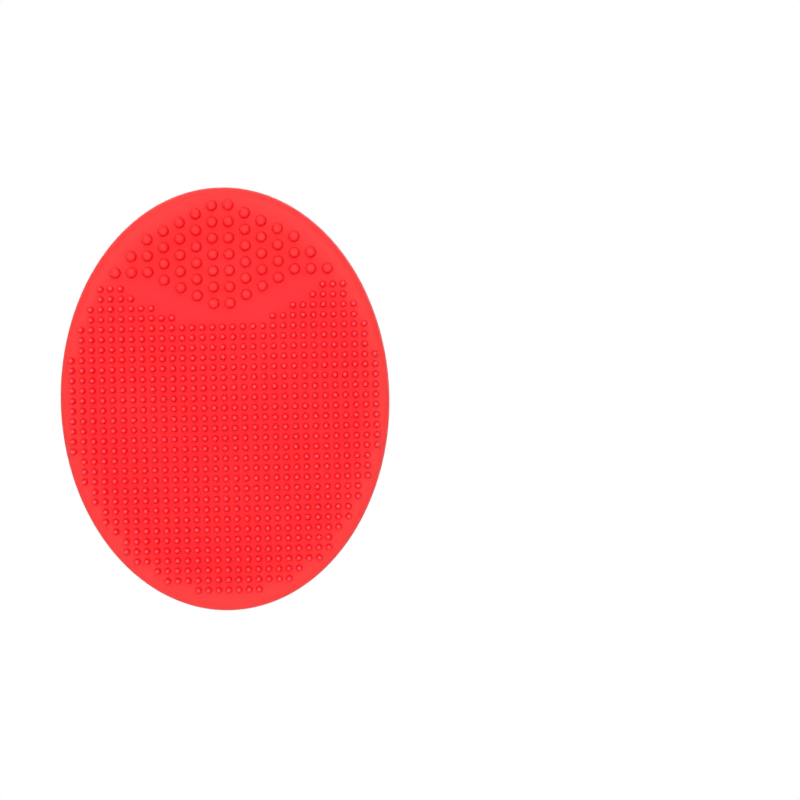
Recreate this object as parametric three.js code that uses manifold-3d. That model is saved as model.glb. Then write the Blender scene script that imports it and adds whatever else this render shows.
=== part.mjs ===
// Facial cleansing brush: an oval pad of soft silicone with a field of fine bristles and a
// patch of thick massage nubs on its front, a finger groove along each side, and a suction
// cup on a short flexible neck at the back.
//
// Millimetres. The brush stands upright, as it hangs from its cup on a wall:
//   +Z runs up the long axis, towards the end with the thick nubs,
//   -Y is the bristle face and +Y is the way the suction cup faces,
//   the origin is the centre of the cup's rim, in the plane that seals on the wall.

import * as THREE from 'three';
import { mergeVertices } from 'three/addons/utils/BufferGeometryUtils.js';
import Module from 'manifold-3d';

// ---------------------------------------------------------------- driving dimensions

// pad outline
const PAD_LENGTH = 65;
const PAD_WIDTH = 50.5;
const CUP_ABOVE_PAD_CENTRE = 1.5;

// rear plate: the oval cut back along each side, so that the groove can be reached
const REAR_SIDE_CUT = 3.35;          // from the pad's widest point to the cut side
const REAR_SIDE_RADIUS = 197;        // the cut sides are almost straight
const REAR_PLATE_INSET = 0.4;
const REAR_PLATE_THICKNESS = 2.8;

// waist between the two plates
const GROOVE_HEIGHT = 6;             // gap for the fingertips
const GROOVE_DEPTH = 10.25;          // from the pad's widest point to the groove's floor
const GROOVE_FLOOR_RADIUS = 40;
const WAIST_INSET = 2.6;             // depth of the groove at the pad's two ends

// front plate and the two thin pads that carry the bristles and the nubs
const FRONT_PLATE_THICKNESS = 3;
const PLATE_EDGE_ROUNDING = 0.6;
const FACE_PAD_THICKNESS = 0.6;
const FACE_PAD_MARGIN = 0.1;         // from the rounded edge of the plate

// fine bristles
const BRISTLE_PITCH = 1.55;
const BRISTLE_HEIGHT = 2;
const BRISTLE_BASE_DIAMETER = 0.95;
const BRISTLE_SIDE_MARGIN = 1.25;    // from the rim to the oval field of the bristles' axes
const BRISTLE_END_MARGIN = 3;        // the same at the pad's two ends
const BRISTLE_FIELD_DROP = 0.8;      // of the field's centre below the pad's
const BRISTLE_ROW_OFFSET = 0.175;    // of the row nearest the pad's centre, above it

// thick massage nubs
const NUB_PITCH = 2.5;
const NUB_COLUMNS_EACH_SIDE = 7;
const NUB_FIELD_FROM_TIP = 10.3;     // from the pad's upper tip to the middle of the columns
const NUB_HEIGHT = 2.1;
const NUB_DIAMETER = 1.5;
const NUB_MARGIN = 2.4;              // from the rim to the oval within which nubs stand
const NUB_DISC_ABOVE_TIP = 0.5;      // centre of the smooth disc under them, above the tip
const SMOOTH_BELOW_NUBS = 2.32;      // from the lowest nub's axis to the edge of that disc
const SMOOTH_BESIDE_NUBS = 1.1;      // below the outermost nub's axis

// suction cup
const CUP_DIAMETER = 22.4;
const CUP_LIP_WIDTH = 1.6;
const CUP_LIP_THICKNESS = 0.8;
const CUP_DEPTH = 4.6;               // at the foot of the gate nub
const CUP_WALL = 1.2;                // at the crown; it thins towards the lip
const CUP_CROWN_DIAMETER = 9;        // of the thick middle of the bell
const GATE_NUB_DIAMETER = 1.8;
const GATE_NUB_HEIGHT = 0.9;

// neck between the cup and the rear plate
const NECK_DIAMETER = 8;
const NECK_LENGTH = 3.4;             // from the cup's crown to the rear plate
const NECK_TILT_DEGREES = 13.5;      // how far its ends fall away, so that it can tilt

// clearance between neighbours that are not face to face
const GAP = 0.3;

const OUTLINE_STEPS = 72;
const ROUND_STEPS = 48;
const BELL_STEPS = 4;

// ---------------------------------------------------------------- derived places

const PAD_CENTRE_Z = -CUP_ABOVE_PAD_CENTRE;
const CROWN_BACK_Y = -(CUP_DEPTH + CUP_WALL);
const REAR_PLATE_Y = CROWN_BACK_Y - NECK_LENGTH;
const WAIST_Y = REAR_PLATE_Y - REAR_PLATE_THICKNESS;
const FRONT_PLATE_Y = WAIST_Y - GROOVE_HEIGHT;
const FACE_PAD_Y = FRONT_PLATE_Y - FRONT_PLATE_THICKNESS;

const HALF_WIDTH = PAD_WIDTH / 2;
const HALF_LENGTH = PAD_LENGTH / 2;
const REAR_PLATE_REACH = HALF_WIDTH - REAR_SIDE_CUT;
const WAIST_REACH = HALF_WIDTH - GROOVE_DEPTH;

// Heights above the pad's centre. The smooth zone of the nubs is a disc that takes in the
// lowest of them, and all that lies above the outermost.
const NUB_FIELD_CENTRE = HALF_LENGTH - NUB_FIELD_FROM_TIP;
const NUB_DISC_CENTRE = HALF_LENGTH + NUB_DISC_ABOVE_TIP;
const LOWEST_NUB_Z = NUB_FIELD_CENTRE - ((NUB_COLUMNS_EACH_SIDE - 1) / 2) * NUB_PITCH;
const OUTERMOST_NUB_Z = NUB_FIELD_CENTRE - nubColumnDrop(NUB_COLUMNS_EACH_SIDE);
const NUB_DISC_RADIUS = NUB_DISC_CENTRE - LOWEST_NUB_Z + SMOOTH_BELOW_NUBS;
const NUB_ZONE_FLOOR = OUTERMOST_NUB_Z - SMOOTH_BESIDE_NUBS;

// The two outer columns of nubs sit lower, following the curve of the rim.
function nubColumnDrop(column) {
  return 0.5 * NUB_PITCH * Math.max(0, column - (NUB_COLUMNS_EACH_SIDE - 2));
}

// ---------------------------------------------------------------- solids

const wasm = await Module();
wasm.setup();

function toSolid(geometry) {
  const bare = geometry.index ? geometry.toNonIndexed() : geometry.clone();
  bare.deleteAttribute('normal');
  bare.deleteAttribute('uv');
  const merged = mergeVertices(bare, 1e-4);
  const mesh = new wasm.Mesh({
    numProp: 3,
    vertProperties: new Float32Array(merged.attributes.position.array),
    triVerts: new Uint32Array(merged.index.array),
  });
  return new wasm.Manifold(mesh);
}

function toGeometry(solid) {
  const mesh = solid.getMesh();
  const geometry = new THREE.BufferGeometry();
  geometry.setAttribute('position', new THREE.BufferAttribute(mesh.vertProperties, 3));
  geometry.setIndex(new THREE.BufferAttribute(mesh.triVerts, 1));
  geometry.computeVertexNormals();
  return geometry;
}

// ---------------------------------------------------------------- outlines, in X and Z

// Half the width of the pad's oval, inset all round, at a height above its centre.
function ovalReach(z, inset) {
  const share = z / (HALF_LENGTH - inset);
  return (HALF_WIDTH - inset) * Math.sqrt(Math.max(0, 1 - share * share));
}

// The oval with its sides limited to reachAt(z).
function limitedOval(inset, reachAt) {
  const points = [];
  for (let i = 0; i < OUTLINE_STEPS; i += 1) {
    const angle = (2 * Math.PI * (i + 0.5)) / OUTLINE_STEPS;
    const z = (HALF_LENGTH - inset) * Math.sin(angle);
    const x = Math.min(ovalReach(z, inset), reachAt(z));
    points.push(new THREE.Vector2(Math.sign(Math.cos(angle)) * x, z));
  }
  return new THREE.Shape(points);
}

const fullReach = () => HALF_WIDTH;
const rearReach = (z) => REAR_PLATE_REACH - bulge(z, REAR_SIDE_RADIUS);
const waistReach = (z) => WAIST_REACH + bulge(z, GROOVE_FLOOR_RADIUS);

// How far an arc of the given radius has left its tangent at a distance along it.
function bulge(distance, radius) {
  return radius - Math.sqrt(radius * radius - distance * distance);
}

// ---------------------------------------------------------------- plates

// Extrudes an X-Z outline from y = 0 towards -Y.
function slab(shape, thickness, rounding = 0) {
  const geometry = new THREE.ExtrudeGeometry(shape, {
    depth: thickness - 2 * rounding,
    bevelEnabled: rounding > 0,
    bevelThickness: rounding,
    bevelSize: rounding,
    bevelOffset: -rounding,
    bevelSegments: 2,
    curveSegments: OUTLINE_STEPS,
  });
  geometry.translate(0, 0, rounding);
  geometry.rotateX(Math.PI / 2);
  return geometry;
}

const frontPlate = () =>
  slab(limitedOval(0, fullReach), FRONT_PLATE_THICKNESS, PLATE_EDGE_ROUNDING);

const rearPlate = () =>
  slab(limitedOval(REAR_PLATE_INSET, rearReach), REAR_PLATE_THICKNESS, PLATE_EDGE_ROUNDING);

const gripWaist = () => slab(limitedOval(WAIST_INSET, waistReach), GROOVE_HEIGHT);

// ---------------------------------------------------------------- bristle and nub fields

// A thin pad on the front plate: the oval, inset to the plate's flat face.
const FACE_PAD_INSET = PLATE_EDGE_ROUNDING + FACE_PAD_MARGIN;

function facePad() {
  return toSolid(slab(limitedOval(FACE_PAD_INSET, fullReach), FACE_PAD_THICKNESS));
}

// The smooth zone of the nubs, cut through the face pad: a disc, and all that lies above it.
function nubZone(growth) {
  const height = 4 * FACE_PAD_THICKNESS;
  const radius = NUB_DISC_RADIUS + growth;
  const disc = new THREE.CylinderGeometry(radius, radius, height, OUTLINE_STEPS);
  disc.translate(0, 0, NUB_DISC_CENTRE);
  const cap = new THREE.BoxGeometry(PAD_WIDTH, height, HALF_LENGTH);
  cap.translate(0, 0, NUB_ZONE_FLOOR - growth + HALF_LENGTH / 2);
  return toSolid(disc).add(toSolid(cap));
}

// One spike or stud whose foot is sunk halfway into the face pad, pointing to -Y.
function stud(sides, footRadius, tipRadius, height) {
  const root = FACE_PAD_THICKNESS / 2;
  const geometry = new THREE.CylinderGeometry(footRadius, tipRadius, height + root, sides);
  geometry.rotateY(Math.PI / sides);
  geometry.translate(0, -FACE_PAD_THICKNESS + root - (height + root) / 2, 0);
  return geometry;
}

// True inside the pad's oval drawn in by the given margins at its sides and ends.
function insideOval(x, z, sideMargin, endMargin) {
  return Math.hypot(x / (HALF_WIDTH - sideMargin), z / (HALF_LENGTH - endMargin)) <= 1;
}

// True where a bristle stands in its field and clear of the nubs' smooth zone.
function bristleStands(x, z) {
  const toDiscCentre = Math.hypot(x, z - NUB_DISC_CENTRE);
  const clear = GAP + BRISTLE_BASE_DIAMETER / 2;
  return (
    insideOval(x, z + BRISTLE_FIELD_DROP, BRISTLE_SIDE_MARGIN, BRISTLE_END_MARGIN) &&
    toDiscCentre > NUB_DISC_RADIUS + clear &&
    z < NUB_ZONE_FLOOR - clear
  );
}

function bristlePad() {
  const spike = stud(4, BRISTLE_BASE_DIAMETER / 2, 0, BRISTLE_HEIGHT);
  const solids = [facePad().subtract(nubZone(GAP))];
  const columns = Math.floor(HALF_WIDTH / BRISTLE_PITCH);
  const rows = Math.floor(HALF_LENGTH / BRISTLE_PITCH);
  for (let row = -rows; row <= rows; row += 1) {
    const z = BRISTLE_ROW_OFFSET + row * BRISTLE_PITCH;
    for (let column = -columns; column <= columns; column += 1) {
      const x = column * BRISTLE_PITCH;
      if (bristleStands(x, z)) {
        solids.push(toSolid(spike.clone().translate(x, 0, z)));
      }
    }
  }
  return toGeometry(wasm.Manifold.union(solids));
}

function nubPad() {
  const nub = stud(6, NUB_DIAMETER / 2, NUB_DIAMETER / 3, NUB_HEIGHT);
  const solids = [facePad().intersect(nubZone(0))];
  for (let column = 1; column <= NUB_COLUMNS_EACH_SIDE; column += 1) {
    const x = (column - 0.5) * NUB_PITCH;
    const count = NUB_COLUMNS_EACH_SIDE + 1 - column;
    const middle = NUB_FIELD_CENTRE - nubColumnDrop(column);
    for (let i = 0; i < count; i += 1) {
      const z = middle + (i - (count - 1) / 2) * NUB_PITCH;
      if (insideOval(x, z, NUB_MARGIN, NUB_MARGIN)) {
        solids.push(toSolid(nub.clone().translate(x, 0, z)));
        solids.push(toSolid(nub.clone().translate(-x, 0, z)));
      }
    }
  }
  return toGeometry(wasm.Manifold.union(solids));
}

// ---------------------------------------------------------------- suction cup and neck

// Turns a profile of [radius, y] corners about the Y axis.
function turned(corners) {
  const points = corners.map(([radius, y]) => new THREE.Vector2(radius, y));
  return new THREE.LatheGeometry(points, ROUND_STEPS);
}

const CUP_RADIUS = CUP_DIAMETER / 2;
const LIP_INNER_RADIUS = CUP_RADIUS - CUP_LIP_WIDTH;
const CROWN_RADIUS = CUP_CROWN_DIAMETER / 2;

function cupLip() {
  return turned([
    [LIP_INNER_RADIUS, 0],
    [LIP_INNER_RADIUS, -CUP_LIP_THICKNESS],
    [CUP_RADIUS, -CUP_LIP_THICKNESS],
    [CUP_RADIUS, 0],
    [LIP_INNER_RADIUS, 0],
  ]);
}

// Depth of the bell's inner face at a distance from its axis: flat under the gate nub, then
// rising to the rim in one smooth curve.
function bellDepth(radius) {
  const flat = GATE_NUB_DIAMETER / 2;
  const share = Math.max(0, radius - flat) / (CUP_RADIUS - flat);
  return CUP_DEPTH * Math.cos((share * Math.PI) / 2) ** 2;
}

// The wall thins from the crown to the lip.
function bellWall(radius) {
  const share = (radius - CROWN_RADIUS) / (CUP_RADIUS - CROWN_RADIUS);
  return THREE.MathUtils.lerp(CUP_WALL, CUP_LIP_THICKNESS, share);
}

// Corners of the bell's inner face between two radii, in the order given.
function bellCurve(from, to) {
  const corners = [];
  for (let i = 0; i <= BELL_STEPS; i += 1) {
    const radius = THREE.MathUtils.lerp(from, to, i / BELL_STEPS);
    corners.push([radius, -bellDepth(radius)]);
  }
  return corners;
}

function cupSkirt() {
  const wide = LIP_INNER_RADIUS - GAP;
  const narrow = CROWN_RADIUS + GAP;
  const inside = bellCurve(wide, narrow);
  const outside = inside.map(([radius, y]) => [radius, y - bellWall(radius)]).reverse();
  return turned([...inside, ...outside, inside[0]]);
}

// The thick middle of the bell, with a flat back.
function cupCrown() {
  return turned([
    [0, CROWN_BACK_Y],
    [CROWN_RADIUS, CROWN_BACK_Y],
    ...bellCurve(CROWN_RADIUS, GATE_NUB_DIAMETER / 2),
    [0, -CUP_DEPTH],
  ]);
}

function gateNub() {
  const radius = GATE_NUB_DIAMETER / 2;
  return turned([
    [0, -CUP_DEPTH],
    [radius, -CUP_DEPTH],
    [radius, -CUP_DEPTH + GATE_NUB_HEIGHT / 2],
    [radius / 2, -CUP_DEPTH + GATE_NUB_HEIGHT],
    [0, -CUP_DEPTH + GATE_NUB_HEIGHT],
  ]);
}

// A barrel whose ends fall away from its middle, so that it clears both neighbours when tilted.
function neck() {
  const radius = NECK_DIAMETER / 2;
  const fall = radius * Math.tan(THREE.MathUtils.degToRad(NECK_TILT_DEGREES));
  const top = CROWN_BACK_Y - GAP;
  const bottom = REAR_PLATE_Y + GAP;
  return turned([
    [0, bottom],
    [radius, bottom + fall],
    [radius, top - fall],
    [0, top],
  ]);
}

// ---------------------------------------------------------------- assembly

function silicone(colour, roughness) {
  return new THREE.MeshStandardMaterial({ color: colour, roughness, metalness: 0 });
}

function part(name, geometry, material, y, z) {
  const mesh = new THREE.Mesh(geometry, material);
  mesh.name = name;
  mesh.position.set(0, y, z);
  return mesh;
}

const brush = new THREE.Group();

const pad = new THREE.Group();
pad.position.z = PAD_CENTRE_Z;
pad.add(
  part('rear_plate', rearPlate(), silicone(0xfd3239, 0.5), REAR_PLATE_Y, 0),
  part('grip_waist', gripWaist(), silicone(0xfa2d35, 0.5), WAIST_Y, 0),
  part('front_plate', frontPlate(), silicone(0xfd353b, 0.5), FRONT_PLATE_Y, 0),
  part('bristle_pad', bristlePad(), silicone(0xff2a36, 0.45), FACE_PAD_Y, 0),
  part('nub_pad', nubPad(), silicone(0xff4040, 0.45), FACE_PAD_Y, 0),
);

const cup = new THREE.Group();
cup.add(
  part('cup_lip', cupLip(), silicone(0xff4d4d, 0.6), 0, 0),
  part('cup_skirt', cupSkirt(), silicone(0xff4040, 0.55), 0, 0),
  part('cup_crown', cupCrown(), silicone(0xff2030, 0.55), 0, 0),
  part('cup_gate_nub', gateNub(), silicone(0xf00a28, 0.55), 0, 0),
  part('cup_neck', neck(), silicone(0xfd3239, 0.5), 0, 0),
);

brush.add(pad, cup);

export default brush;
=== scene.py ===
"""Facial cleansing brush of soft red silicone: an oval pad with fine bristles and thick nubs on its
front, a finger groove round its waist, and a suction cup on a short flexible neck at the back."""
import math
import random

import bpy
import numpy as np
from mathutils import Matrix, Vector


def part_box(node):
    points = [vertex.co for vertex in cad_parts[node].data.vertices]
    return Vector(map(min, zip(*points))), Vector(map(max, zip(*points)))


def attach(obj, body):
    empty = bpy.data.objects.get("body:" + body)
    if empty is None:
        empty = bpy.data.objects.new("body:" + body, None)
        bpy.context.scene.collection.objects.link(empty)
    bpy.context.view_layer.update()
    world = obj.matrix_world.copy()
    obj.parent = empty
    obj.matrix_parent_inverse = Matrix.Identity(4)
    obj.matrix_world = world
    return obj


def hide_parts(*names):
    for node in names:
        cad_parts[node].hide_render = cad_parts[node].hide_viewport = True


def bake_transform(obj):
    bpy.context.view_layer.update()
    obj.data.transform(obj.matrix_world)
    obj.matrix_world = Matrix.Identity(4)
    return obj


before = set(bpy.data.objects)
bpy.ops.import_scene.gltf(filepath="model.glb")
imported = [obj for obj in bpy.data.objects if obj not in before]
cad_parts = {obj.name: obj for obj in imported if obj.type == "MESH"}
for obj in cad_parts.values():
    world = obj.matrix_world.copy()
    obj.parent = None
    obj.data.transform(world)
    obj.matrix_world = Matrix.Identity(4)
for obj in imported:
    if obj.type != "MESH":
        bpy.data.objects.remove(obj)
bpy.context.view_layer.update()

MM = 0.001

# ------------------------------------------------------------------ places, in millimetres


def span(node):
    """Lowest and highest corner of a CAD node, in millimetres."""
    low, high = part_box(node)
    return np.array(low) / MM, np.array(high) / MM


FRONT_LOW, FRONT_HIGH = span("front_plate")
REAR_LOW, REAR_HIGH = span("rear_plate")
BRISTLES_LOW = span("bristle_pad")[0]
LIP_HIGH = span("cup_lip")[1]
CROWN_LOW = span("cup_crown")[0]

HALF_WIDTH = (FRONT_HIGH[0] - FRONT_LOW[0]) / 2
HALF_LENGTH = (FRONT_HIGH[2] - FRONT_LOW[2]) / 2
PAD_Z = (FRONT_HIGH[2] + FRONT_LOW[2]) / 2
REAR_REACH = REAR_HIGH[0]

BRISTLE_HEIGHT = 2.0
NUB_HEIGHT = 2.1
FACE_Y = BRISTLES_LOW[1] + BRISTLE_HEIGHT
FACE_CROWN = 0.25  # how far the face falls back at the rim
RIM_ROUNDING = 1.5
BACK_ROUNDING = 0.9  # of the front plate's back edge
GROOVE_FILLET = 1.2
REAR_ROUNDING = 0.4

REAR_INSET = 0.4
REAR_SIDE_RADIUS = 197
WAIST_INSET = 2.6
WAIST_REACH = 15.0
WAIST_SIDE_RADIUS = 40

CUP_RADIUS = LIP_HIGH[0]
CUP_DEPTH = 4.6
CUP_FLAT = 0.9  # radius of the flat spot round the gate nub
CUP_SEAL_RADIUS = 10.0  # inner edge of the flat sealing ring
CROWN_BACK_Y = CROWN_LOW[1]
NECK_RADIUS = 3.9
NECK_MIDDLE_Y = (CROWN_BACK_Y + REAR_HIGH[1]) / 2
NECK_CUP_END_Y = -4.2  # on the outside of the bell
NECK_CUP_FLARE = 0.5
NECK_PAD_FLARE = 1.7

# ------------------------------------------------------------------ mesh helpers


def make_object(name, points, faces, smooth=True):
    """A mesh object from points in millimetres."""
    mesh = bpy.data.meshes.new(name)
    mesh.from_pydata([tuple(p * MM) for p in np.asarray(points, float)], [], faces)
    mesh.validate()
    mesh.update()
    mesh.polygons.foreach_set("use_smooth", [smooth] * len(mesh.polygons))
    obj = bpy.data.objects.new(name, mesh)
    bpy.context.scene.collection.objects.link(obj)
    return obj


def skin(rings, start_tip=None, end_tip=None):
    """Points and quads through rings of equal length, closed by a tip at either end."""
    count = len(rings[0])
    points = [p for ring in rings for p in ring]
    faces = []
    for r in range(len(rings) - 1):
        for i in range(count):
            j = (i + 1) % count
            a, b = r * count, (r + 1) * count
            faces.append((a + i, a + j, b + j, b + i))
    if start_tip is not None:
        tip = len(points)
        points.append(start_tip)
        faces += [(tip, (i + 1) % count, i) for i in range(count)]
    if end_tip is not None:
        tip = len(points)
        last = (len(rings) - 1) * count
        points.append(end_tip)
        faces += [(tip, last + i, last + (i + 1) % count) for i in range(count)]
    return points, faces


def turned(profile, sides):
    """Rings of a profile of (radius, y), turned about the Y axis."""
    angles = [2 * math.pi * i / sides for i in range(sides)]
    return [
        [np.array((r * math.cos(a), y, r * math.sin(a))) for a in angles]
        for r, y in profile
    ]


def arc(steps, from_degrees=0, to_degrees=90):
    """(sine, cosine) pairs along an arc."""
    turns = np.radians(np.linspace(from_degrees, to_degrees, steps + 1))
    return [(math.sin(t), math.cos(t)) for t in turns]


# ------------------------------------------------------------------ outlines, in X and Z

OUTLINE_POINTS = 320


def soft_min(a, b, softness):
    """The lesser of two lengths, with the corner between them rounded."""
    gap = np.clip((a - b) / softness, -60, 60)
    return a - softness * np.log1p(np.exp(gap))


def limited_oval(inset, reach, softness):
    """The pad's oval, inset all round, with its sides drawn in to reach(z)."""
    angles = 2 * np.pi * (np.arange(OUTLINE_POINTS) + 0.5) / OUTLINE_POINTS
    z = (HALF_LENGTH - inset) * np.sin(angles)
    x = np.abs((HALF_WIDTH - inset) * np.cos(angles))
    if reach is not None:
        x = np.maximum(soft_min(x, reach(z), softness), 0.2 * np.minimum(x, 1))
    return np.stack([np.sign(np.cos(angles)) * x, z], 1)


def grown(outline, distance):
    """The outline moved outwards along its normals."""
    tangent = np.roll(outline, -1, 0) - np.roll(outline, 1, 0)
    normal = np.stack([tangent[:, 1], -tangent[:, 0]], 1)
    normal /= np.linalg.norm(normal, axis=1)[:, None]
    return outline + distance * normal


def level(outline, y):
    """The outline as a ring at a depth y, round the pad's centre."""
    ring = np.empty((len(outline), 3))
    ring[:, 0] = outline[:, 0]
    ring[:, 1] = y
    ring[:, 2] = outline[:, 1] + PAD_Z
    return ring


def bulge(distance, radius):
    """How far an arc has left its tangent at a distance along it."""
    return radius - np.sqrt(radius * radius - distance * distance)


OVAL = limited_oval(0, None, 1)
REAR_OUTLINE = limited_oval(REAR_INSET, lambda z: REAR_REACH - bulge(z, REAR_SIDE_RADIUS), 0.12)
WAIST_OUTLINE = limited_oval(WAIST_INSET, lambda z: WAIST_REACH + bulge(z, WAIST_SIDE_RADIUS), 0.7)


def face_depth(x, z):
    """Y of the front face at a point, z being measured from the pad's centre."""
    share = np.hypot(x / HALF_WIDTH, z / HALF_LENGTH)
    return FACE_Y + FACE_CROWN * share**3


# ------------------------------------------------------------------ pad


def pad_rings():
    """Rings from the middle of the front face, round the rim and the waist, to the back."""
    rings = []
    flat = grown(OVAL, -RIM_ROUNDING)
    for share in (0.06, 0.25, 0.45, 0.62, 0.76, 0.88, 0.96):
        ring = level(flat * share, 0)
        ring[:, 1] = face_depth(ring[:, 0], ring[:, 2] - PAD_Z)
        rings.append(ring)
    rim_y = float(face_depth(0, HALF_LENGTH - RIM_ROUNDING))

    # front rim, its side with a fine parting line, and its rounded back edge
    for sine, cosine in arc(8):
        y = rim_y + RIM_ROUNDING * (1 - cosine)
        rings.append(level(grown(OVAL, -RIM_ROUNDING * (1 - sine)), y))
    side_end = FRONT_HIGH[1] - BACK_ROUNDING
    parting_y = (rim_y + RIM_ROUNDING + side_end) / 2
    for step, proud in ((-0.16, 0), (-0.07, 0.05), (0, 0.075), (0.07, 0.05), (0.16, 0)):
        rings.append(level(grown(OVAL, proud), parting_y + step))
    for sine, cosine in arc(6):
        y = side_end + BACK_ROUNDING * sine
        rings.append(level(grown(OVAL, -BACK_ROUNDING * (1 - cosine)), y))

    # underside of the front plate, and the fillet into the waist
    rings += between(rings[-1], level(grown(WAIST_OUTLINE, GROOVE_FILLET), FRONT_HIGH[1]), 7)
    for sine, cosine in arc(7):
        y = FRONT_HIGH[1] + GROOVE_FILLET * (1 - cosine)
        rings.append(level(grown(WAIST_OUTLINE, GROOVE_FILLET * (1 - sine)), y))
    low, high = FRONT_HIGH[1] + GROOVE_FILLET, REAR_LOW[1] - GROOVE_FILLET
    for share in (0.33, 0.67):
        rings.append(level(WAIST_OUTLINE, low + (high - low) * share))
    for sine, cosine in arc(7):
        y = high + GROOVE_FILLET * sine
        rings.append(level(grown(WAIST_OUTLINE, GROOVE_FILLET * (1 - cosine)), y))

    # underside, edge and back of the rear plate
    back = grown(REAR_OUTLINE, -REAR_ROUNDING)
    rings += between(rings[-1], level(back, REAR_LOW[1]), 7)
    for sine, cosine in arc(5)[1:]:
        y = REAR_LOW[1] + REAR_ROUNDING * (1 - cosine)
        rings.append(level(grown(REAR_OUTLINE, -REAR_ROUNDING * (1 - sine)), y))
    for sine, cosine in arc(5):
        y = REAR_HIGH[1] - REAR_ROUNDING * (1 - sine)
        rings.append(level(grown(REAR_OUTLINE, -REAR_ROUNDING * (1 - cosine)), y))
    for share in (0.96, 0.88, 0.76, 0.6, 0.42, 0.22, 0.06):
        rings.append(level(back * share, REAR_HIGH[1]))
    return rings


def between(first, last, steps):
    """The rings that lead from first to last, last included."""
    return [first + (last - first) * (k + 1) / steps for k in range(steps)]


def make_pad(red):
    rings = pad_rings()
    front_tip = np.array((0, FACE_Y, PAD_Z))
    back_tip = np.array((0, REAR_HIGH[1], PAD_Z))
    points, faces = skin(rings, front_tip, back_tip)
    pad = make_object("pad_moulding", points, faces)
    pad.data.materials.append(red)
    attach(pad, "pad")
    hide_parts("front_plate", "grip_waist", "rear_plate")
    return pad


# ------------------------------------------------------------------ bristles and nubs


def studs(name, places, profile, sides, lean):
    """One object of many turned studs standing on the face. A profile runs from foot to tip."""
    points, faces, heights = [], [], []
    tip_height = profile[-1][1]
    for x, z in places:
        foot = np.array((x, float(face_depth(x, z)), z + PAD_Z))
        grow = dice.uniform(0.97, 1.0)
        tilt = np.array((dice.gauss(0, lean), 0, dice.gauss(0, lean)))
        turn = dice.uniform(0, 2 * math.pi)
        start = len(points)
        for radius, height in profile[:-1]:
            for i in range(sides):
                a = turn + 2 * math.pi * i / sides
                out = np.array((radius * math.cos(a), -height * grow, radius * math.sin(a)))
                points.append(foot + out + tilt * max(height, 0))
                heights.append(height / tip_height)
        points.append(foot + np.array((0, -tip_height * grow, 0)) + tilt * tip_height)
        heights.append(1.0)
        for r in range(len(profile) - 2):
            for i in range(sides):
                j = (i + 1) % sides
                a, b = start + r * sides, start + (r + 1) * sides
                faces.append((a + i, b + i, b + j, a + j))
        last = start + (len(profile) - 2) * sides
        faces += [(last + i, len(points) - 1, last + (i + 1) % sides) for i in range(sides)]
    obj = make_object(name, points, faces)
    attribute = obj.data.attributes.new("stud_height", "FLOAT", "POINT")
    attribute.data.foreach_set("value", heights)
    return obj


BRISTLE_PITCH = 1.55
BRISTLE_ROW_OFFSET = 0.175
BRISTLE_SIDE_MARGIN = 1.25
BRISTLE_END_MARGIN = 3
BRISTLE_FIELD_DROP = 0.8
BRISTLE_CLEAR = 0.775
NUB_PITCH = 2.5
NUB_COLUMNS = 7
NUB_CENTRE = HALF_LENGTH - 10.3
NUB_DISC_CENTRE = HALF_LENGTH + 0.5
NUB_DISC_RADIUS = NUB_DISC_CENTRE - (NUB_CENTRE - 3 * NUB_PITCH) + 2.32
NUB_ZONE_FLOOR = NUB_CENTRE - NUB_PITCH - 1.1


def bristle_stands(x, z):
    """True inside the bristles' oval field and clear of the nubs' smooth zone."""
    side = x / (HALF_WIDTH - BRISTLE_SIDE_MARGIN)
    end = (z + BRISTLE_FIELD_DROP) / (HALF_LENGTH - BRISTLE_END_MARGIN)
    return (
        math.hypot(side, end) <= 1
        and math.hypot(x, z - NUB_DISC_CENTRE) > NUB_DISC_RADIUS + BRISTLE_CLEAR
        and z < NUB_ZONE_FLOOR - BRISTLE_CLEAR
    )


def bristle_places():
    columns = int(HALF_WIDTH / BRISTLE_PITCH)
    rows = int(HALF_LENGTH / BRISTLE_PITCH)
    grid = [
        (column * BRISTLE_PITCH, BRISTLE_ROW_OFFSET + row * BRISTLE_PITCH)
        for row in range(-rows, rows + 1)
        for column in range(-columns, columns + 1)
    ]
    return [place for place in grid if bristle_stands(*place)]


def nub_places():
    places = []
    for column in range(1, NUB_COLUMNS + 1):
        x = (column - 0.5) * NUB_PITCH
        count = NUB_COLUMNS + 1 - column
        middle = NUB_CENTRE - 0.5 * NUB_PITCH * max(0, column - NUB_COLUMNS + 2)
        for i in range(count):
            z = middle + (i - (count - 1) / 2) * NUB_PITCH
            places += [(x, z), (-x, z)]
    return places


def make_bristles(red):
    profile = [
        (0.56, -0.06), (0.51, 0.04), (0.49, 0.16), (0.46, 0.6), (0.41, 1.2),
        (0.36, 1.6), (0.29, 1.83), (0.18, 1.95), (0, BRISTLE_HEIGHT),
    ]
    bristles = studs("fine_bristles", bristle_places(), profile, 10, 0.012)
    bristles.data.materials.append(red)
    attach(bristles, "pad")
    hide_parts("bristle_pad")
    return bristles


def make_nubs(red):
    profile = [
        (0.9, -0.06), (0.83, 0.03), (0.8, 0.12), (0.78, 0.7), (0.76, 1.3), (0.73, 1.58),
        (0.68, 1.76), (0.59, 1.9), (0.46, 2.0), (0.3, 2.06), (0.14, 2.09), (0, NUB_HEIGHT),
    ]
    nubs = studs("massage_nubs", nub_places(), profile, 20, 0.006)
    nubs.data.materials.append(red)
    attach(nubs, "pad")
    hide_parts("nub_pad")
    return nubs


# ------------------------------------------------------------------ suction cup and neck


def bell_depth(radius):
    """Depth of the bell's inner face at a distance from its axis."""
    share = max(0.0, radius - CUP_FLAT) / (CUP_SEAL_RADIUS - CUP_FLAT)
    return CUP_DEPTH * math.cos(min(share, 1.0) * math.pi / 2) ** 2


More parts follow.
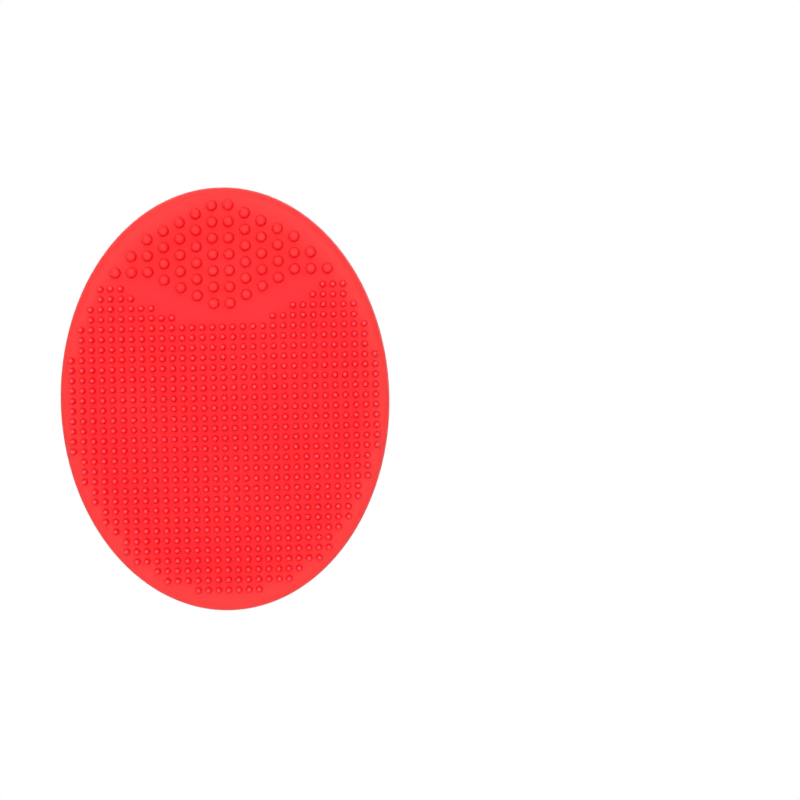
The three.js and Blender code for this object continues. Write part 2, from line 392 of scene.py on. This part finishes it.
def bell_wall(radius):
    """Wall thickness: thick at the crown and thin at the lip."""
    share = min(1.0, max(0.0, (radius - 3) / (CUP_RADIUS - 3)))
    return 1.15 - 0.55 * share


def make_cup(red):
    profile = []
    inner = np.linspace(0.15, CUP_SEAL_RADIUS, 26)
    profile += [(r, -bell_depth(r)) for r in inner]
    edge = 0.28  # rounding of the lip
    profile += [(CUP_SEAL_RADIUS + 0.5, 0), (CUP_RADIUS - edge, 0)]
    for sine, cosine in arc(8, 0, 180)[1:]:
        profile.append((CUP_RADIUS - edge + edge * sine, -edge * (1 - cosine)))
    for r in np.linspace(CUP_RADIUS - 0.7, 3.2, 24):
        profile.append((r, -bell_depth(r) - bell_wall(r)))
    profile += [(2.2, CROWN_BACK_Y + 0.15), (0.3, CROWN_BACK_Y + 0.1)]
    rings = turned(profile, 128)
    inside_tip = np.array((0, -CUP_DEPTH, 0))
    outside_tip = np.array((0, CROWN_BACK_Y + 0.1, 0))
    points, faces = skin(rings, inside_tip, outside_tip)
    cup = make_object("suction_cup", points, faces)
    cup.data.materials.append(red)
    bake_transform(cup)
    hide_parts("cup_lip", "cup_skirt", "cup_crown")
    return cup


def make_gate_nub(red):
    profile = [
        (1.3, -0.1), (1.02, 0.02), (0.9, 0.16), (0.86, 0.4), (0.76, 0.62), (0.55, 0.78), (0.28, 0.86),
    ]
    rings = turned([(r, -CUP_DEPTH + h) for r, h in profile], 40)
    points, faces = skin(rings, None, np.array((0, -CUP_DEPTH + 0.88, 0)))
    nub = make_object("cup_gate_nub_moulded", points, faces)
    nub.data.materials.append(red)
    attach(nub, "cup_crown")
    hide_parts("cup_gate_nub")
    return nub


def neck_half(name, end_y, flare):
    """One half of the neck, from its middle to an end that flares into its neighbour."""
    direction = math.copysign(1, end_y - NECK_MIDDLE_Y)
    length = abs(end_y - NECK_MIDDLE_Y)
    profile = [(NECK_RADIUS, NECK_MIDDLE_Y)]
    for sine, cosine in arc(10)[1:]:
        y = NECK_MIDDLE_Y + direction * length * sine
        profile.append((NECK_RADIUS + flare * (1 - cosine), y))
    profile.append((NECK_RADIUS + flare, end_y + direction * 0.25))
    if direction > 0:
        profile.reverse()
    points, faces = skin(turned(profile, 96))
    return make_object(name, points, faces)


def make_neck(red):
    pad_half = neck_half("neck_pad_half", REAR_HIGH[1], NECK_PAD_FLARE)
    cup_half = neck_half("neck_cup_half", NECK_CUP_END_Y, NECK_CUP_FLARE)
    for half in (pad_half, cup_half):
        half.data.materials.append(red)
    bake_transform(pad_half)
    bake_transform(cup_half)
    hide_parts("cup_neck")
    return pad_half, cup_half


# ------------------------------------------------------------------ materials


def new_material(name):
    material = bpy.data.materials.new(name)
    material.use_nodes = True
    return material, material.node_tree


def silicone(name, deep, light, roughness, grain=0.035, shine=0.2, painted_light_and_shade=()):
    """Moulded silicone: two close reds in soft clouds, a fine matt grain and a little depth."""
    material, tree = new_material(name)
    nodes, links = tree.nodes, tree.links
    shader = nodes["Principled BSDF"]
    place = nodes.new("ShaderNodeTexCoord").outputs["Object"]

    clouds = noise(tree, place, 90, 3)
    specks = noise(tree, place, 1900, 2)
    mixed = nodes.new("ShaderNodeMix")
    mixed.inputs["Factor"].default_value = 0.35
    links.new(clouds, mixed.inputs[2])
    links.new(specks, mixed.inputs[3])

    ramp = nodes.new("ShaderNodeValToRGB")
    ramp.color_ramp.elements[0].position = 0.3
    ramp.color_ramp.elements[0].color = (*deep, 1)
    ramp.color_ramp.elements[1].position = 0.7
    ramp.color_ramp.elements[1].color = (*light, 1)
    links.new(mixed.outputs[0], ramp.inputs["Fac"])
    colour = ramp.outputs["Color"]
    # lay the painted light and shade over the reds, one mask at a time
    for amount, tint in painted_light_and_shade:
        colour = mix_colour(tree, amount(tree, place), colour, tint)
    links.new(colour, shader.inputs["Base Color"])

    uneven = graded(tree, specks, 0, 1, roughness - 0.05, roughness + 0.05)
    links.new(uneven, shader.inputs["Roughness"])

    bump = nodes.new("ShaderNodeBump")
    bump.inputs["Strength"].default_value = grain
    bump.inputs["Distance"].default_value = 0.0002
    links.new(specks, bump.inputs["Height"])
    links.new(bump.outputs["Normal"], shader.inputs["Normal"])

    shader.inputs["Subsurface Weight"].default_value = 0.4
    shader.inputs["Subsurface Radius"].default_value = (1.0, 0.25, 0.2)
    shader.inputs["Subsurface Scale"].default_value = 0.0008
    shader.inputs["IOR"].default_value = 1.41
    shader.inputs["Specular IOR Level"].default_value = shine
    return material


def noise(tree, place, scale, detail):
    texture = tree.nodes.new("ShaderNodeTexNoise")
    texture.inputs["Scale"].default_value = scale
    texture.inputs["Detail"].default_value = detail
    tree.links.new(place, texture.inputs["Vector"])
    return texture.outputs["Fac"]


def graded(tree, value, from_low, from_high, to_low=0.0, to_high=1.0):
    """A value carried smoothly from one range to another."""
    grade = tree.nodes.new("ShaderNodeMapRange")
    grade.interpolation_type = "SMOOTHSTEP"
    grade.inputs["From Min"].default_value = from_low
    grade.inputs["From Max"].default_value = from_high
    grade.inputs["To Min"].default_value = to_low
    grade.inputs["To Max"].default_value = to_high
    tree.links.new(value, grade.inputs["Value"])
    return grade.outputs["Result"]


def product(tree, first, second):
    both = tree.nodes.new("ShaderNodeMath")
    both.operation = "MULTIPLY"
    tree.links.new(first, both.inputs[0])
    tree.links.new(second, both.inputs[1])
    return both.outputs[0]


def mix_colour(tree, amount, colour, tint):
    mix = tree.nodes.new("ShaderNodeMix")
    mix.data_type = "RGBA"
    mix.inputs[7].default_value = (*tint, 1)
    tree.links.new(amount, mix.inputs[0])
    tree.links.new(colour, mix.inputs[6])
    return mix.outputs[2]


def oval_share(tree, place, half_width, half_length, centre_z):
    """Distance from an axis along Y, as a share of an oval's half sizes."""
    nodes, links = tree.nodes, tree.links
    flat = nodes.new("ShaderNodeMapping")
    flat.inputs["Location"].default_value = (0, 0, -centre_z / half_length)
    flat.inputs["Scale"].default_value = (1 / (half_width * MM), 0, 1 / (half_length * MM))
    links.new(place, flat.inputs["Vector"])
    length = nodes.new("ShaderNodeVectorMath")
    length.operation = "LENGTH"
    links.new(flat.outputs[0], length.inputs[0])
    return length.outputs["Value"]


def painted_light_near_rim(tree, place):
    """Grows towards the pad's rim, for painted light on the thin rim."""
    return graded(tree, oval_share(tree, place, HALF_WIDTH, HALF_LENGTH, PAD_Z), 0.78, 1.0)


def painted_shade_near_neck(tree, place):
    """Grows towards the neck on the back of the pad, for painted shade round the cup and the neck's
    thick root.
    """
    split = tree.nodes.new("ShaderNodeSeparateXYZ")
    tree.links.new(place, split.inputs[0])
    at_back = graded(tree, split.outputs["Y"], (REAR_LOW[1] + 0.5) * MM, (REAR_HIGH[1] - 0.5) * MM)
    around = graded(tree, oval_share(tree, place, 1, 1, 0), 18.5, 10)
    return product(tree, at_back, around)


def painted_shade_to_cup_centre(tree, place):
    """Grows from the cup's lip to its middle: painted shade in the bell's hollow, with the deeper red
    of its thick crown.
    """
    return graded(tree, oval_share(tree, place, 1, 1, 0), 10.2, 1.4)


def stud_part(low, high):
    """Grows along a stud between two shares of its height."""

    def amount(tree, place):
        height = tree.nodes.new("ShaderNodeAttribute")
        height.attribute_name = "stud_height"
        return graded(tree, height.outputs["Fac"], low, high)

    return amount


def painted_shade_in_groove(tree, place):
    """Grows in the finger groove, away from the rim of the plates, for painted shade in the groove.
    """
    split = tree.nodes.new("ShaderNodeSeparateXYZ")
    tree.links.new(place, split.inputs[0])
    behind = graded(tree, split.outputs["Y"], (FRONT_HIGH[1] - 0.4) * MM, FRONT_HIGH[1] * MM)
    before = graded(tree, split.outputs["Y"], (REAR_LOW[1] + 0.4) * MM, REAR_LOW[1] * MM)
    inside = graded(tree, oval_share(tree, place, HALF_WIDTH, HALF_LENGTH, PAD_Z), 0.965, 0.87)
    return product(tree, product(tree, behind, before), inside)


def make_pad_red():
    painted_light_and_shade = [
        # painted light: the rim lighter towards its edge
        (painted_light_near_rim, (0.98, 0.046, 0.046)),
        # painted shade: deeper red round the neck on the back
        (painted_shade_near_neck, (0.97, 0.012, 0.027)),
        # painted shade: deeper red in the finger groove
        (painted_shade_in_groove, (1.0, 0.008, 0.02)),
    ]
    return silicone(
        "moulded_pad_red", (0.96, 0.018, 0.027), (0.98, 0.029, 0.037), 0.5, shine=0.18, painted_light_and_shade=painted_light_and_shade
    )


def make_bristle_red():
    # painted highlight: the bristles' tips lighter than their sides
    painted_light_and_shade = [(stud_part(0.78, 1.0), (1.0, 0.075, 0.09))]
    deep, light = (0.98, 0.006, 0.024), (1.0, 0.011, 0.034)
    return silicone("moulded_bristle_red", deep, light, 0.45, painted_light_and_shade=painted_light_and_shade)


def make_nub_red():
    # painted shade: the nubs' walls and feet darker than their domed tops
    painted_light_and_shade = [(stud_part(0.86, 0.7), (0.92, 0.003, 0.012))]
    return silicone("moulded_nub_red", (0.97, 0.026, 0.032), (1.0, 0.042, 0.044), 0.45, painted_light_and_shade=painted_light_and_shade)


def make_cup_red():
    return silicone(
        "moulded_cup_red",
        (0.96, 0.04, 0.042),
        (0.98, 0.058, 0.058),
        0.6,
        grain=0.08,
        shine=0.06,
        # painted shade in the bell's hollow, with the deeper red of its thick crown
        painted_light_and_shade=[(painted_shade_to_cup_centre, (0.92, 0.0, 0.014))],
    )


def make_gate_red():
    return silicone("moulded_gate_red", (0.95, 0.009, 0.026), (0.98, 0.015, 0.034), 0.5, shine=0.06)


# ------------------------------------------------------------------ stage, light and camera


def camera_share(tree):
    """One for rays that show the background: from the camera, and through mirror or glass."""
    path = tree.nodes.new("ShaderNodeLightPath")
    total = path.outputs["Is Camera Ray"]
    for kind in ("Is Glossy Ray", "Is Transmission Ray"):
        either = tree.nodes.new("ShaderNodeMath")
        either.operation = "MAXIMUM"
        tree.links.new(total, either.inputs[0])
        tree.links.new(path.outputs[kind], either.inputs[1])
        total = either.outputs[0]
    return total


def make_floor():
    """A pale floor that keeps the brush's shadow and fades into the white behind it."""
    half, drop = 1.5, -0.14
    points = [(-half, -half, drop), (half, -half, drop), (half, half, drop), (-half, half, drop)]
    floor = make_object("studio_floor", np.array(points) / MM, [(0, 1, 2, 3)], smooth=False)
    material, tree = new_material("studio_white")
    nodes, links = tree.nodes, tree.links
    shader = nodes["Principled BSDF"]
    shader.inputs["Base Color"].default_value = (0.9, 0.9, 0.9, 1)
    shader.inputs["Roughness"].default_value = 0.8
    white = nodes.new("ShaderNodeEmission")
    white.inputs["Strength"].default_value = 1.0
    place = nodes.new("ShaderNodeTexCoord").outputs["Object"]
    flat = nodes.new("ShaderNodeVectorMath")
    flat.operation = "MULTIPLY"
    flat.inputs[1].default_value = (1, 1, 0)
    links.new(place, flat.inputs[0])
    length = nodes.new("ShaderNodeVectorMath")
    length.operation = "LENGTH"
    links.new(flat.outputs[0], length.inputs[0])
    away = graded(tree, length.outputs["Value"], 0.0, 0.45, 0.55, 1.0)
    mix = nodes.new("ShaderNodeMixShader")
    links.new(product(tree, away, camera_share(tree)), mix.inputs["Fac"])
    links.new(shader.outputs[0], mix.inputs[1])
    links.new(white.outputs[0], mix.inputs[2])
    links.new(mix.outputs[0], nodes["Material Output"].inputs["Surface"])
    floor.data.materials.append(material)


def make_world():
    """Even soft light for the object; plain white for what is seen behind it."""
    world = bpy.data.worlds.new("studio")
    world.use_nodes = True
    tree = world.node_tree
    nodes, links = tree.nodes, tree.links
    soft = nodes["Background"]
    soft.inputs["Color"].default_value = (1, 1, 1, 1)
    soft.inputs["Strength"].default_value = 0.45
    white = nodes.new("ShaderNodeBackground")
    white.inputs["Color"].default_value = (1, 1, 1, 1)
    white.inputs["Strength"].default_value = 1.0
    mix = nodes.new("ShaderNodeMixShader")
    links.new(camera_share(tree), mix.inputs["Fac"])
    links.new(soft.outputs[0], mix.inputs[1])
    links.new(white.outputs[0], mix.inputs[2])
    links.new(mix.outputs[0], nodes["World Output"].inputs["Surface"])
    bpy.context.scene.world = world


def add_softbox(name, place, size, watts):
    """A square area light that faces the pad's centre."""
    light = bpy.data.lights.new(name, "AREA")
    light.size = size
    light.energy = watts
    lamp = bpy.data.objects.new(name, light)
    lamp.location = place
    aim = Vector((0, -0.012, PAD_Z * MM)) - Vector(place)
    lamp.rotation_euler = aim.to_track_quat("-Z", "Y").to_euler()
    bpy.context.scene.collection.objects.link(lamp)


def make_lights():
    add_softbox("front_softbox", (0.04, -0.85, 0.12), 0.8, 6.0)
    add_softbox("back_softbox", (0.0, 0.85, 0.06), 1.0, 6.0)
    add_softbox("top_softbox", (-0.2, 0.05, 0.8), 0.6, 1.2)


def make_camera():
    """Square on to the bristle face from 0.6 m, with the brush in the left half of the frame."""
    lens, sensor = 175, 36
    frame_width = 123.08  # at the pad's rim, in millimetres
    right_of_pad, above_pad = 26.92, -0.18
    lean = math.radians(1.4)
    right = Vector((math.cos(lean), 0, -math.sin(lean)))
    up = Vector((math.sin(lean), 0, math.cos(lean)))
    rim_y = (FRONT_LOW[1] + FRONT_HIGH[1]) / 2
    distance = frame_width / sensor * lens
    aim = Vector((0, rim_y, PAD_Z)) + right_of_pad * right + above_pad * up
    data = bpy.data.cameras.new("camera")
    data.lens = lens
    data.sensor_width = sensor
    data.clip_start, data.clip_end = 0.01, 10
    camera = bpy.data.objects.new("camera", data)
    back = Vector((0, -1, 0))
    turn = Matrix((right, up, back)).transposed().to_4x4()
    camera.matrix_world = Matrix.Translation((aim + back * distance) * MM) @ turn
    bpy.context.scene.collection.objects.link(camera)
    bpy.context.scene.camera = camera


# ------------------------------------------------------------------ build

dice = random.Random(7)

pad_red = make_pad_red()

make_camera()
make_pad(pad_red)
make_bristles(make_bristle_red())
make_nubs(make_nub_red())
make_cup(make_cup_red())
make_gate_nub(make_gate_red())
make_neck(pad_red)
make_floor()
make_world()
make_lights()
bpy.context.scene.view_settings.view_transform = "Standard"
